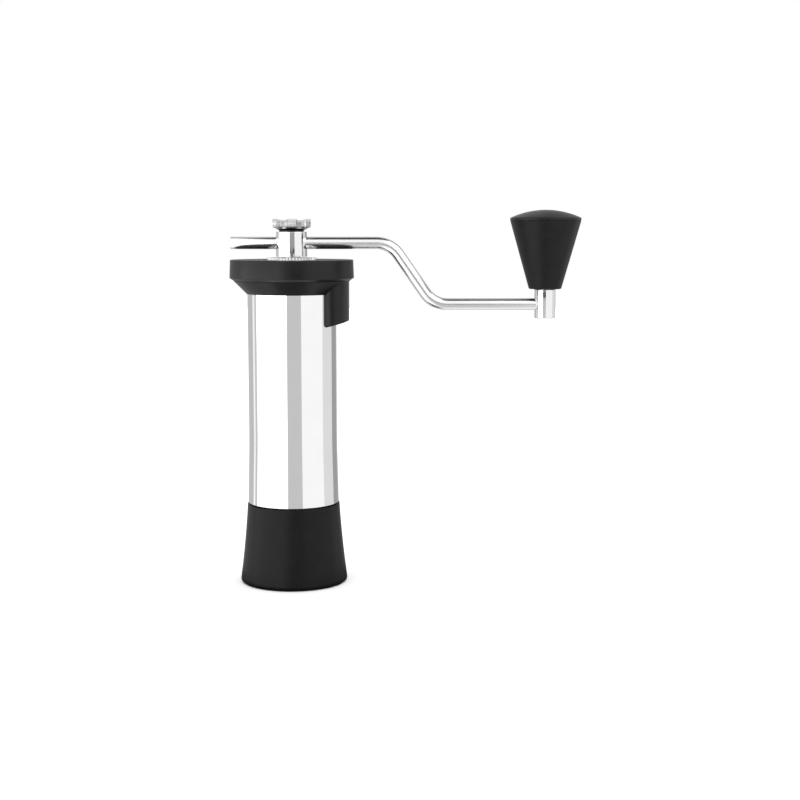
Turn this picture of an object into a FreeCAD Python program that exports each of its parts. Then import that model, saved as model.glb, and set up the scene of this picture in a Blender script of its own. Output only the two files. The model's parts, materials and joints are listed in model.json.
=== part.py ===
import FreeCAD, Part
import math
import os
import re

import Sketcher

# A hand crank coffee grinder: a steel tube on a catch cup, with a conical burr set on a ball-bearing shaft,
# a hopper with a lid, a grind dial and a removable crank with a turning knob.
# Frame: millimetres, origin at the centre of the catch cup's underside, +Z up the shaft, +X towards the knob.

SIZES = {
    # tube
    "tube_radius": (25.6, "outer radius of the straight part of the tube"),
    "tube_foot_radius": (26.45, "outer radius at the tube's flared lower end"),
    "tube_bore": (24.1, "inner radius of the tube"),
    "tube_bottom": (46.85, "height of the tube's lower edge"),
    "tube_top": (170.0, "height of the tube's upper edge, inside the collar"),
    "flare_top": (88.0, "height where the tube begins to flare"),
    "flare_blend": (77.0, "height below which the flare is straight"),
    # catch cup
    "cup_height": (46.35, "height of the cup's rim"),
    "cup_foot_radius": (31.2, "outer radius at the cup's foot"),
    "cup_rim_radius": (26.85, "outer radius at the cup's rim"),
    "cup_waist": (0.38, "how far the cup's side is drawn in from a straight taper"),
    "cup_round": (1.8, "rounding of the cup's lower edge"),
    "cup_bore": (24.4, "inner radius of the cup's mouth"),
    "cup_belly": (28.2, "inner radius of the cup near its base"),
    "cup_mouth_low": (36.5, "lower end of the straight mouth"),
    "base_radius": (28.6, "radius of the base disc"),
    "base_thick": (2.6, "thickness of the base disc"),
    # hopper collar and thumb rest
    "collar_bottom": (168.3, "height of the collar's lower lip"),
    "seam_height": (175.85, "height of the ledge that the lid sits on"),
    "seam_radius": (33.5, "outer radius at that ledge"),
    "rim_outer": (31.5, "outer radius of the upright rim inside the lid"),
    "rim_inner": (29.6, "inner radius of the upright rim"),
    "rim_top": (181.0, "top of the upright rim"),
    "rest_radius": (33.0, "radius of the thumb rest's outer face"),
    "rest_half_width": (17.0, "half the width of the thumb rest"),
    "rest_taper": (0.8, "how much less its half width is at the tube"),
    "rest_bottom": (149.8, "underside of the thumb rest at the tube"),
    "rest_rise": (3.1, "how much higher its underside is at the outer face"),
    "rest_round": (8.0, "rounding of its upright corners"),
    "rest_edge": (0.8, "rounding of its lower edge"),
    "tab_inner": (17.8, "radius where the screw tabs end"),
    "tab_top": (171.2, "upper face of the screw tabs"),
    "screw_circle": (20.3, "radius of the collar screws' circle"),
    # lid
    "lid_top": (187.9, "height of the lid"),
    "lid_top_radius": (35.4, "radius of the lid's upper edge"),
    "lid_radius": (35.8, "radius above the lid's chamfer"),
    "lid_chamfer_top": (177.5, "upper end of the chamfer"),
    "lid_bottom": (176.0, "lower edge of the lid"),
    "lid_skin": (2.4, "thickness of the lid's top"),
    "lid_inside": (31.9, "inner radius of the lid's skirt"),
    "lid_hole": (15.0, "radius of the hole for the dial"),
    # spiders and bearings
    "spider_radius": (24.05, "outer radius of both spiders"),
    "spider_ring": (22.2, "inner radius of a spider's ring"),
    "boss_radius": (13.2, "outer radius of a spider's boss"),
    "arm_width": (5.0, "width of a spider's arm"),
    "bearing_outer": (11.0, "outer radius of a bearing"),
    "bearing_bore": (5.0, "bore radius of a bearing"),
    "bearing_height": (6.0, "width of a bearing"),
    "inner_race": (6.9, "outer radius of an inner ring"),
    "outer_race": (9.1, "inner radius of an outer ring"),
    "ball_radius": (1.5, "radius of a ball"),
    "groove_radius": (1.7, "radius of the ring's groove"),
    "ball_circle": (8.0, "radius of the balls' circle"),
    "upper_seat": (170.0, "lower face of the upper bearing"),
    "lower_seat": (88.0, "lower face of the lower bearing"),
    "clip_radius": (11.8, "outer radius of a circlip"),
    "clip_inner": (9.6, "inner radius of a circlip"),
    "clip_thick": (1.0, "thickness of a circlip"),
    # shaft and dial
    "shaft_radius": (4.96, "radius of the shaft"),
    "shaft_bottom": (57.3, "lower end of the shaft"),
    "shaft_shoulder": (189.65, "shoulder that the crank hub sits on"),
    "shaft_top": (200.0, "upper end of the hexagon"),
    "hexagon": (8.0, "width across the flats of the hexagon"),
    "tapped_radius": (2.52, "radius of the tapped holes"),
    "sleeve_radius": (6.8, "outer radius of the thrust sleeve"),
    "dial_bottom": (179.4, "lower face of the dial"),
    "dial_top": (189.1, "upper face of the dial"),
    "dial_radius": (14.3, "radius of the dial"),
    "dial_bore": (5.02, "bore radius of the dial"),
    # burrs
    "burr_bottom": (57.0, "lower face of the inner burr"),
    "burr_break": (63.0, "height where the fine teeth end"),
    "burr_top": (80.0, "upper face of the inner burr"),
    "burr_radius": (19.4, "radius over the fine teeth at the bottom"),
    "burr_taper": (0.2, "radius lost per millimetre of height in the fine zone"),
    "burr_gap": (0.65, "gap between the burrs at rest"),
    "burr_neck": (9.0, "radius over the feed ribs at the top"),
    "burr_bore": (4.99, "bore radius of the inner burr"),
    "tooth_depth": (0.7, "depth of the fine teeth"),
    "ring_burr_bottom": (58.0, "lower face of the outer burr"),
    "ring_burr_break": (64.0, "height where its fine teeth end"),
    "ring_burr_top": (74.0, "upper face of the outer burr"),
    "ring_burr_mouth": (21.2, "inner radius at its mouth"),
    "keeper_bottom": (39.5, "lower edge of the retaining ring's spigot"),
    "keeper_bore": (21.0, "inner radius of the retaining ring"),
    "keeper_spigot": (23.3, "outer radius of its spigot"),
    "seal_height": (43.5, "height of the cup seal"),
    "seal_wire": (1.0, "radius of the seal's cord"),
    "seal_circle": (23.15, "radius of the seal's circle"),
    # preload spring
    "spring_circle": (6.8, "mean radius of the preload spring"),
    "spring_wire": (0.6, "radius of its wire"),
    "spring_washer_thick": (0.7, "thickness of the spring washer"),
    # crank
    "hub_bottom": (189.7, "lower face of the crank hub"),
    "hub_top": (203.9, "upper face of the crank hub"),
    "hub_radius": (9.0, "radius of the hub at its lower face"),
    "hub_top_radius": (8.8, "radius of the hub at its upper face"),
    "hub_web": (200.5, "underside of the web under the thumb screw"),
    "socket_flats": (8.1, "width across the flats of the hub's socket"),
    "rod_radius": (3.5, "radius of the crank's rod"),
    "rod_height": (197.5, "height of the rod at the hub"),
    "rod_drop": (35.3, "how much lower the outer run lies"),
    "rod_inset": (5.7, "distance from the axis to the rod's inner end"),
    "stub_end": (35.1, "reach of the counter stub"),
    "bend_start": (56.8, "first corner of the rod's centre line"),
    "bend_end": (81.5, "second corner of the rod's centre line"),
    "bend_radius": (15.5, "radius of both bends"),
    "crank_reach": (146.0, "distance from the shaft to the knob's axis"),
    "post_radius": (6.08, "radius of the crank's end post"),
    "post_bottom": (154.2, "lower end of the post"),
    "post_top": (170.8, "upper end of the post"),
    # thumb screw
    "thumb_washer_foot": (7.1, "radius of the thumb washer's lower face"),
    "thumb_washer_side": (204.7, "upper end of its straight side"),
    "thumb_washer_top": (205.65, "upper face of the thumb washer"),
    "thumb_base_radius": (9.0, "radius under the thumb screw's head"),
    "thumb_side_low": (206.6, "lower edge of the lobes"),
    "thumb_top": (211.3, "upper edge of the lobes"),
    "thumb_radius": (11.5, "radius over the lobes"),
    "thumb_shank": (2.45, "radius of its shank"),
    "thumb_tip": (192.0, "lower end of its shank"),
    "dish_depth": (2.4, "depth of the dish in its top"),
    "dish_floor": (2.5, "radius of the dish's flat floor"),
    "scallop_radius": (4.5, "radius of a scallop"),
    "scallop_circle": (13.9, "radius of the scallops' circle"),
    "scallop_turn": (5.0, "direction of the first scallop, in degrees from +X"),
    # knob
    "knob_bottom": (171.1, "lower face of the knob"),
    "knob_bottom_radius": (9.6, "radius of the knob's lower end"),
    "knob_rim": (210.1, "height of the grip's upper edge"),
    "knob_radius": (20.4, "radius of the grip's upper edge"),
    "cap_bottom": (210.3, "lower edge of the cap"),
    "cap_side": (211.9, "upper end of the cap's rim"),
    "cap_top": (216.4, "top of the cap's dome"),
    "bush_radius": (5.5, "outer radius of the knob's bushes"),
    "spindle_radius": (4.0, "radius of the knob spindle"),
    "spindle_foot": (3.0, "radius of the spindle's threaded foot"),
    "running_gap": (0.05, "radial clearance of a running fit"),
}

ARMS = 3
BALLS = 8
DIAL_NOTCHES = 48
FINE_TEETH = 36
FEED_RIBS = 6
RING_NOTCHES = 12
LOBES = 6

doc = FreeCAD.newDocument("hand_crank_coffee_grinder")
sheet = doc.addObject("Spreadsheet::Sheet", "Sizes")
for row, (alias, (size, meaning)) in enumerate(SIZES.items(), start=1):
    sheet.set(f"A{row}", alias)
    sheet.set(f"B{row}", str(size))
    sheet.set(f"C{row}", meaning)
    sheet.setAlias(f"B{row}", alias)
doc.recompute()

sub_parts = []


# ---------------------------------------------------------------- tools for the sketches and features

def bound(text):
    """An expression in which each size's name refers to its cell of the sheet."""
    return re.sub("[a-z_]+", lambda word: f"Sizes.{word[0]}" if word[0] in SIZES else word[0], str(text))


def value(text):
    """The number that an expression gives now."""
    return float(sheet.evalExpression(bound(text)))


def bind(item, **expressions):
    """Bind properties of a document object to the sheet."""
    for name, text in expressions.items():
        item.setExpression(name, bound(text))


def sub_part(item, label):
    """Name a document object as one sub-part of the grinder."""
    item.Label = label
    sub_parts.append(item)
    return item


def new_body(label, several_solids=False):
    body = sub_part(doc.addObject("PartDesign::Body", label), label)
    body.AllowCompound = several_solids
    return body


def origin_feature(body, role):
    return next(feature for feature in body.Origin.OriginFeatures if feature.Role == role)


def new_sketch(body, plane, offset=0):
    sketch = body.newObject("Sketcher::SketchObject", f"{body.Label}_sketch")
    sketch.AttachmentSupport = (origin_feature(body, plane), [""])
    sketch.MapMode = "FlatFace"
    if offset:
        sketch.setExpression("AttachmentOffset.Base.z", bound(offset))
    return sketch


def pin_point(sketch, item, point, across, up):
    """Fix one point of a sketch element by expressions measured from the sketch's origin."""
    for kind, text, axis in (("DistanceX", across, -2), ("DistanceY", up, -1)):
        if value(text) == 0:
            sketch.addConstraint(Sketcher.Constraint("PointOnObject", item, point, axis))
        else:
            index = sketch.addConstraint(Sketcher.Constraint(kind, -1, 1, item, point, value(text)))
            sketch.setExpression(f"Constraints[{index}]", bound(text))


def draw_outline(sketch, corners):
    """Draw a closed outline through the corners, each (across, up) or (across, up, bulge).

    A bulge makes the side that ends at that corner an arc, which stands off its chord by the bulge,
    to the left of the direction of travel if it is positive.
    """
    places = [FreeCAD.Vector(value(corner[0]), value(corner[1]), 0) for corner in corners]
    sides = []
    for index, start in enumerate(places):
        following = (index + 1) % len(corners)
        end = places[following]
        if len(corners[following]) == 2:
            sides.append(sketch.addGeometry(Part.LineSegment(start, end), False))
            continue
        bulge = corners[following][2]
        left = FreeCAD.Vector(start.y - end.y, end.x - start.x, 0).normalize()
        middle = (start + end) / 2 + left * value(bulge)
        arc = sketch.addGeometry(Part.Arc(start, middle, end), False)
        sides.append(arc)
        run = f"({corners[following][0]} - ({corners[index][0]}))"
        rise = f"({corners[following][1]} - ({corners[index][1]}))"
        radius = f"({run} ^ 2 + {rise} ^ 2) / (8 * abs({bulge})) + abs({bulge}) / 2"
        limit = sketch.addConstraint(Sketcher.Constraint("Radius", arc, value(radius)))
        sketch.setExpression(f"Constraints[{limit}]", bound(radius))
    # an arc that runs clockwise is stored the other way round, so its ends are told apart by place
    for index, place in enumerate(places):
        before = sides[index - 1]
        after = sides[index]
        ends = []
        for side in (before, after):
            starts_here = sketch.getPoint(side, 1).isEqual(place, 1e-6)
            ends.append(1 if starts_here else 2)
        sketch.addConstraint(Sketcher.Constraint("Coincident", before, ends[0], after, ends[1]))
        pin_point(sketch, after, ends[1], corners[index][0], corners[index][1])


def draw_circle(sketch, radius, across=0, up=0):
    centre = FreeCAD.Vector(value(across), value(up), 0)
    circle = sketch.addGeometry(Part.Circle(centre, FreeCAD.Vector(0, 0, 1), value(radius)), False)
    index = sketch.addConstraint(Sketcher.Constraint("Radius", circle, value(radius)))
    sketch.setExpression(f"Constraints[{index}]", bound(radius))
    pin_point(sketch, circle, 3, across, up)


def hexagon_corners(flats):
    """The corners of a hexagon with two flats facing along Y."""
    corner = f"({flats}) / sqrt(3)"
    turns = [(1, 0), (0.5, 1), (-0.5, 1), (-1, 0), (-0.5, -1), (0.5, -1)]
    return [(f"{across} * {corner}", f"{side} * ({flats}) / 2") for across, side in turns]


def box_corners(left, right, low, high):
    return [(left, low), (right, low), (right, high), (left, high)]


def revolve(body, corners, kind="PartDesign::Revolution", angle=360, axis_at=0):
    """Turn an outline drawn on the XZ plane about the upright line at axis_at."""
    sketch = new_sketch(body, "XZ_Plane")
    draw_outline(sketch, corners)
    turned = body.newObject(kind, f"{body.Label}_turned")
    turned.Profile = sketch
    if axis_at:
        line = Part.LineSegment(FreeCAD.Vector(value(axis_at), 0, 0), FreeCAD.Vector(value(axis_at), 1, 0))
        axis = sketch.addGeometry(line, True)
        pin_point(sketch, axis, 1, axis_at, 0)
        pin_point(sketch, axis, 2, axis_at, 1)
        turned.ReferenceAxis = (sketch, ["Axis0"])
    else:
        turned.ReferenceAxis = (sketch, ["V_Axis"])
    turned.Angle = angle
    return turned


def extrude(body, sketch, length, kind="PartDesign::Pad", reverse=False, both_ways=False):
    feature = body.newObject(kind, f"{body.Label}_{kind.split('::')[1].lower()}")
    feature.Profile = sketch
    bind(feature, Length=length)
    feature.Reversed = reverse
    if both_ways:
        feature.SideType = "Symmetric"
    return feature


def pocket(body, sketch, length, reverse=False, both_ways=False):
    """Cut a pocket, and stop if it takes nothing away."""
    doc.recompute()
    before = body.Shape.Volume
    feature = extrude(body, sketch, length, "PartDesign::Pocket", reverse, both_ways)
    doc.recompute()
    if body.Shape.Volume > before - 1e-3:
        raise ValueError(f"a pocket in {body.Label} cuts nothing")
    return feature


def repeat_round(body, features, count):
    pattern = body.newObject("PartDesign::PolarPattern", f"{body.Label}_pattern")
    pattern.Originals = features
    pattern.Axis = (origin_feature(body, "Z_Axis"), [""])
    pattern.Angle = 360
    pattern.Occurrences = count
    body.Tip = pattern


def round_edges(body, radius, wanted, kind="PartDesign::Fillet"):
    """Round or chamfer the edges of a body that a test picks."""
    doc.recompute()
    names = [f"Edge{number}" for number, edge in enumerate(body.Shape.Edges, start=1) if wanted(edge)]
    if not names:
        raise ValueError(f"{body.Label} has no such edge")
    base = body.Tip
    dressed = body.newObject(kind, f"{body.Label}_{kind.split('::')[1].lower()}")
    dressed.Base = (base, names)
    bind(dressed, **{"Radius" if kind.endswith("Fillet") else "Size": radius})
    body.Tip = dressed


def ring_at(height, radius=None):
    """A test for the circular edges at a height, and of a radius if one is given."""
    def wanted(edge):
        box = edge.BoundBox
        level = box.ZLength < 1e-3 and abs(box.ZMin - value(height)) < 1e-2
        right_size = radius is None or abs(box.XLength / 2 - value(radius)) < 1e-2
        return level and isinstance(edge.Curve, Part.Circle) and right_size
    return wanted


def ring(label, inner, outer, bottom, top):
    """A plain turned ring, such as a washer or a sleeve."""
    body = new_body(label)
    revolve(body, box_corners(inner, outer, bottom, top))
    return body


def on_knob_axis(item):
    """Stand a sub-part that is drawn about its own axis on the knob's axis."""
    item.setExpression("Placement.Base.x", bound("crank_reach"))
    return item


# ---------------------------------------------------------------- barrel: tube, collar and what they hold

def make_body_tube():
    body = new_body("body_tube")
    lean = "(tube_foot_radius - tube_radius) / (flare_blend - tube_bottom + (flare_top - flare_blend) / 2)"
    blend_radius = f"(tube_radius + {lean} * (flare_top - flare_blend) / 2)"
    revolve(body, [
        ("tube_bore", "tube_bottom"),
        ("tube_foot_radius", "tube_bottom"),
        (blend_radius, "flare_blend"),
        ("tube_radius", "flare_top", f"{lean} * (flare_top - flare_blend) / 8"),
        ("tube_radius", "tube_top"),
        ("tube_bore", "tube_top"),
    ])
    round_edges(body, 0.35, ring_at("tube_bottom"), "PartDesign::Chamfer")


def thumb_rest_rim(edge):
    """True for the edges round the thumb rest's underside, apart from the one against the tube."""
    box = edge.BoundBox
    low = value("rest_bottom - 0.1") < box.ZMin and box.ZMax < value("rest_bottom + rest_rise * 1.2")
    middle = edge.valueAt((edge.FirstParameter + edge.LastParameter) / 2)
    return low and math.hypot(middle.x, middle.y) > value("tube_radius + 0.2")


def make_hopper_collar():
    body = new_body("hopper_collar")
    revolve(body, [
        ("tube_radius + running_gap", "collar_bottom"),
        ("tube_radius + 0.35", "collar_bottom"),
        ("seam_radius", "seam_height"),
        ("rim_outer", "seam_height"),
        ("rim_outer", "rim_top"),
        ("rim_inner", "rim_top"),
        ("rim_inner", "seam_height + 0.15"),
        ("tube_bore + 0.2", "tube_top + 0.1"),
        ("tube_radius + running_gap", "tube_top + 0.1"),
    ])

    # thumb rest: a block against the tube on the knob's side, with a rising underside
    shape = new_sketch(body, "XY_Plane", "rest_bottom")
    inside = "(tube_radius + 0.1)"
    inner_y = "(rest_half_width - rest_taper)"
    inner = f"sqrt({inside} ^ 2 - {inner_y} ^ 2)"
    round_y = "(rest_half_width - rest_round)"
    round_x = f"sqrt((rest_radius - rest_round) ^ 2 - {round_y} ^ 2)"
    reach = "(rest_radius / (rest_radius - rest_round))"
    outer_x, outer_y = f"{round_x} * {reach}", f"{round_y} * {reach}"
    half_chord = f"(({outer_x} - {round_x}) ^ 2 + ({outer_y} - rest_half_width) ^ 2) / 4"
    corner_bulge = f"(sqrt(rest_round ^ 2 - {half_chord}) - rest_round)"
    side = f"({round_x} - {inner})"
    side_chord = f"sqrt({side} ^ 2 + rest_taper ^ 2)"
    side_bulge = f"({side_chord} * ({side} - {side_chord}) / (2 * rest_taper))"
    draw_outline(shape, [
        (inner, f"-{inner_y}", f"{inside} - {inner}"),
        (round_x, "-rest_half_width", side_bulge),
        (outer_x, f"-{outer_y}", corner_bulge),
        (outer_x, outer_y, f"{outer_x} - rest_radius"),
        (round_x, "rest_half_width", corner_bulge),
        (inner, inner_y, side_bulge),
    ])
    extrude(body, shape, "seam_height - rest_bottom - 0.6")

    underside = new_sketch(body, "XZ_Plane")
    draw_outline(underside, [
        ("tube_radius - 8", "rest_bottom - 2"),
        ("rest_radius + 2", "rest_bottom - 2"),
        ("rest_radius + 2", "rest_bottom + rest_rise * 1.16"),
        ("tube_radius - 5", "rest_bottom"),
        ("tube_radius - 8", "rest_bottom"),
    ])
    pocket(body, underside, "3 * rest_radius", both_ways=True)
    round_edges(body, "rest_edge", thumb_rest_rim)

    # three tabs over the spider's arms, each bridged to the funnel above the tube and drilled for a screw
    tab = new_sketch(body, "XY_Plane", "collar_bottom")
    draw_outline(tab, box_corners("-arm_width / 2", "arm_width / 2", "tab_inner", "tube_bore - 0.4"))
    bridge = new_sketch(body, "XY_Plane", "tube_top + 0.15")
    draw_outline(bridge, box_corners("-arm_width / 2", "arm_width / 2", "tube_bore - 2", "tube_bore + 1.5"))
    hole = new_sketch(body, "XY_Plane", "tab_top")
    draw_circle(hole, "1.1", 0, "screw_circle")
    features = [
        extrude(body, bridge, "tab_top - tube_top - 0.15"),
        extrude(body, tab, "tab_top - collar_bottom"),
        pocket(body, hole, "tab_top - collar_bottom"),
    ]
    repeat_round(body, features, ARMS)


def make_collar_screws():
    body = new_body("collar_screws", several_solids=True)
    shank_radius, head_radius, socket_radius = 1, 1.9, 0.8
    depth, head_height = 9, 1.4
    seat = "tab_top + 0.02"
    sketch = new_sketch(body, "XY_Plane", f"tube_top - {depth}")
    draw_circle(sketch, shank_radius, 0, "screw_circle")
    shank = extrude(body, sketch, f"tab_top - tube_top + {depth} + 0.1")
    head_sketch = new_sketch(body, "XY_Plane", seat)
    draw_circle(head_sketch, head_radius, 0, "screw_circle")
    head = extrude(body, head_sketch, head_height)
    socket_sketch = new_sketch(body, "XY_Plane", f"{seat} + {head_height}")
    draw_circle(socket_sketch, socket_radius, 0, "screw_circle")
    socket = pocket(body, socket_sketch, 0.9)
    repeat_round(body, [shank, head, socket], ARMS)


def make_spider(label, ring_span, boss_span, arm_span, seat, shoulder, screws):
    """A three-armed carrier: a ring pressed in the tube and a boss that holds a bearing.

    Each span gives a lower and an upper height. The bearing sits at seat, against a shoulder on the
    side that shoulder names, with a circlip in a groove on its other side.
    """
    body = new_body(label, several_solids=True)
    boss_low, boss_high = boss_span
    arm_low, arm_high = arm_span
    clip_gap = "0.2"
    groove_low, groove_high = {
        "below": (f"{seat} + bearing_height + {clip_gap}", f"{seat} + bearing_height + 0.3 + clip_thick"),
        "above": (f"{seat} - 0.3 - clip_thick", f"{seat} - {clip_gap}"),
    }[shoulder]
    wide, groove, narrow = "bearing_outer", "clip_radius + 0.1", "outer_race"
    if shoulder == "below":
        inside = [(wide, boss_high), (wide, groove_high), (groove, groove_high), (groove, groove_low),
                  (wide, groove_low), (wide, seat), (narrow, seat), (narrow, boss_low)]
    else:
        top = f"{seat} + bearing_height"
        inside = [(narrow, boss_high), (narrow, top), (wide, top), (wide, groove_high),
                  (groove, groove_high), (groove, groove_low), (wide, groove_low), (wide, boss_low)]
    revolve(body, [("boss_radius", boss_low), ("boss_radius", boss_high)] + inside)
    revolve(body, box_corners("spider_ring", "spider_radius", *ring_span))
    arm = new_sketch(body, "XY_Plane", arm_low)
    draw_outline(arm, box_corners("-arm_width / 2", "arm_width / 2", "boss_radius - 1", "spider_ring + 0.6"))
    features = [extrude(body, arm, f"{arm_high} - ({arm_low})")]
    if screws:
        hole = new_sketch(body, "XY_Plane", arm_high)
        draw_circle(hole, 1.02, 0, "screw_circle")
        features.append(pocket(body, hole, "9"))
    repeat_round(body, features, ARMS)


def make_spiders():
    make_spider("upper_spider", ("tube_top - 14", "collar_bottom - 0.05"),
                ("upper_seat - 10", "upper_seat + 8.3"), ("tube_top - 12", "collar_bottom - 0.05"),
                "upper_seat", "below", screws=True)
    make_spider("lower_spider", ("ring_burr_top + 0.1", "lower_seat + 10"),
                ("lower_seat - 2.2", "lower_seat + 12"), ("lower_seat - 2", "lower_seat + 10"),
                "lower_seat", "above", screws=False)


def make_bearing(place, seat):
    """The separate pieces of a ball bearing: two rings, a cage and the balls."""
    middle = f"{seat} + bearing_height / 2"
    half_groove = "sqrt(groove_radius ^ 2 - (ball_circle - inner_race) ^ 2)"
    low, high = f"{middle} - {half_groove}", f"{middle} + {half_groove}"
    top = f"{seat} + bearing_height"

    inner = new_body(f"{place}_bearing_inner_ring")
    revolve(inner, [
        ("bearing_bore", seat),
        ("inner_race", seat),
        ("inner_race", low),
        ("inner_race", high, "groove_radius - (ball_circle - inner_race)"),
        ("inner_race", top),
        ("bearing_bore", top),
    ])
    outer = new_body(f"{place}_bearing_outer_ring")
    revolve(outer, [
        ("bearing_outer - 0.02", seat),
        ("bearing_outer - 0.02", top),
        ("outer_race", top),
        ("outer_race", high),
        ("outer_race", low, "groove_radius - (ball_circle - inner_race)"),
        ("outer_race", seat),
    ])

    cage = new_body(f"{place}_bearing_cage")
    revolve(cage, box_corners("ball_circle - 0.5", "ball_circle + 0.5", f"{middle} - 2", f"{middle} + 2"))
    window = new_sketch(cage, "YZ_Plane", "ball_circle - 1")
    draw_circle(window, "ball_radius + 0.15", 0, middle)
    repeat_round(cage, [pocket(cage, window, 2, reverse=True)], BALLS)

    balls = new_body(f"{place}_bearing_balls", several_solids=True)
    ball = balls.newObject("PartDesign::AdditiveSphere", f"{balls.Label}_sphere")
    ball.AttachmentSupport = (origin_feature(balls, "XY_Plane"), [""])
    ball.MapMode = "FlatFace"
    bind(ball, Radius="ball_radius")
    bind(ball, **{"AttachmentOffset.Base.x": "ball_circle", "AttachmentOffset.Base.z": middle})
    repeat_round(balls, [ball], BALLS)


def make_circlip(label, low):
    """An open spring ring with two drilled ears."""
    body = new_body(label)
    high = f"{low} + clip_thick"
    ear_radius, hole_radius, ear_circle, ear_turn = 1.25, 0.55, "(clip_inner + 0.7)", 19.3
    turned = revolve(body, box_corners("clip_inner + 0.6", "clip_radius", low, high), angle=332)
    turned.Midplane = True
    across, off = f"-{ear_circle} * cos({ear_turn})", f"{ear_circle} * sin({ear_turn})"
    ears = [(across, off), (across, f"-{off}")]
    sketch = new_sketch(body, "XY_Plane", low)
    for place in ears:
        draw_circle(sketch, ear_radius, *place)
    extrude(body, sketch, "clip_thick")
    holes = new_sketch(body, "XY_Plane", high)
    for place in ears:
        draw_circle(holes, hole_radius, *place)
    pocket(body, holes, "clip_thick")


def make_retaining_ring():
    """The threaded ring that holds the outer burr; its spigot carries the cup's seal."""
    body = new_body("burr_retaining_ring")
    top = "ring_burr_bottom - 0.1"
    revolve(body, [
        ("keeper_bore", "keeper_bottom"),
        ("keeper_spigot", "keeper_bottom"),
        ("keeper_spigot", "seal_height - 1.3"),
        ("seal_circle - seal_wire", "seal_height - 1.3"),
        ("seal_circle - seal_wire", "seal_height + 1.3"),
        ("keeper_spigot", "seal_height + 1.3"),
        ("keeper_spigot", "tube_bottom - 0.3"),
        ("tube_bore - 0.04", "tube_bottom + 0.2"),
        ("tube_bore - 0.04", top),
        ("keeper_bore", top),
    ])
    notch = new_sketch(body, "XY_Plane", "keeper_bottom")
    draw_outline(notch, box_corners("-1.5", "1.5", "keeper_bore - 0.6", "keeper_spigot + 0.6"))
    repeat_round(body, [pocket(body, notch, "1.6", reverse=True)], 4)


def make_cup_seal():
    seal = sub_part(doc.addObject("Part::Torus", "cup_seal"), "cup_seal")
    bind(seal, Radius1="seal_circle", Radius2="seal_wire - 0.02")
    seal.setExpression("Placement.Base.z", bound("seal_height"))


# ---------------------------------------------------------------- burrs

def saw_wire(count, tip, root, height, twist):
    """A closed saw-toothed outline at a height: each tooth has a steep face and a long back."""
    points = []
    for tooth in range(count):
        angle = twist + 2 * math.pi * tooth / count
        for radius, share in ((tip, 0), (root, 0.3)):
            turn = angle + 2 * math.pi * share / count
            points.append(FreeCAD.Vector(radius * math.cos(turn), radius * math.sin(turn), height))
    return Part.makePolygon(points + points[:1])


def saw_solid(count, levels):
    """A ruled solid through saw-toothed outlines, given as (tip, root, height, twist) from the bottom up."""
    return Part.makeLoft([saw_wire(count, *level) for level in levels], True, True)


def make_inner_burr():
    low, middle, high = value("burr_bottom"), value("burr_break"), value("burr_top")
    foot, depth = value("burr_radius"), value("tooth_depth")
    waist = foot - value("burr_taper") * (middle - low)
    fine = saw_solid(FINE_TEETH, [
        (foot, foot - depth, low, 0),
        (waist, waist - depth, middle, math.radians(6)),
    ])
    neck = value("burr_neck")
    shoulder = waist - 0.3
    core, twist = 6.6, math.radians(75)
    steps = 6
    levels = []
    for step in range(steps + 1):
        share = step / steps
        tip = shoulder + (neck - shoulder) * share
        groove = 0.8 + 3.2 * math.sin(math.pi * min(share + 0.25, 1.0))
        levels.append((tip, max(tip - groove, core), middle + (high - middle) * share, twist * share))
    ribs = saw_solid(FEED_RIBS, levels)
    shape = fine.fuse(ribs)
    bore = Part.makeCylinder(value("burr_bore"), high - low + 2, FreeCAD.Vector(0, 0, low - 1))
    slot_width = 3.04
    slot_low = high - 3.3
    slot = Part.makeBox(30, slot_width, high, FreeCAD.Vector(-15, -slot_width / 2, slot_low))
    burr = sub_part(doc.addObject("Part::Feature", "inner_burr"), "inner_burr")
    burr.Shape = shape.cut(bore).cut(slot)


def make_outer_burr():
    low, middle, high = value("ring_burr_bottom"), value("ring_burr_break"), value("ring_burr_top")
    foot = value("burr_radius + burr_gap - burr_taper * (ring_burr_bottom - burr_bottom)")
    waist = foot - value("burr_taper") * (middle - low)
    depth = value("tooth_depth")
    mouth = value("ring_burr_mouth")
    ring_body = Part.makeCylinder(value("spider_radius"), high - low, FreeCAD.Vector(0, 0, low))
    fine = saw_solid(FINE_TEETH, [
        (foot + depth, foot, low - 0.01, 0),
        (waist + depth, waist, middle, math.radians(-6)),
    ])
    feed = saw_solid(RING_NOTCHES, [
        (waist + depth, waist, middle - 0.01, 0),
        (mouth + 1.2, mouth, high + 0.01, math.radians(-30)),
    ])
    burr = sub_part(doc.addObject("Part::Feature", "outer_burr"), "outer_burr")
    burr.Shape = ring_body.cut(fine).cut(feed)


def make_burr_fasteners():
    pin = sub_part(doc.addObject("Part::Cylinder", "burr_drive_pin"), "burr_drive_pin")
    bind(pin, Radius=1.5, Height="2 * burr_neck - 4.4")
    pin.Placement = FreeCAD.Placement(FreeCAD.Vector(), FreeCAD.Rotation(FreeCAD.Vector(0, 1, 0), 90))
    bind(pin, **{"Placement.Base.x": "-burr_neck + 2.2", "Placement.Base.z": "burr_top - 1.75"})

    ring("burr_washer", "thumb_shank + 0.2", 8, "burr_bottom - 0.9", "burr_bottom - 0.05")
    screw = new_body("burr_screw")
    head_radius, key_size, key_depth = 4.25, 4, 2.2
    seat = "burr_bottom - 0.95"
    head_low, tip = f"{seat} - 3.5", "shaft_bottom + 14"
    revolve(screw, [
        (0, head_low),
        (head_radius, head_low),
        (head_radius, seat),
        ("thumb_shank", seat),
        ("thumb_shank", tip),
        (0, tip),
    ])
    socket = new_sketch(screw, "XY_Plane", head_low)
    draw_outline(socket, hexagon_corners(key_size))
    pocket(screw, socket, key_depth, reverse=True)


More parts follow.
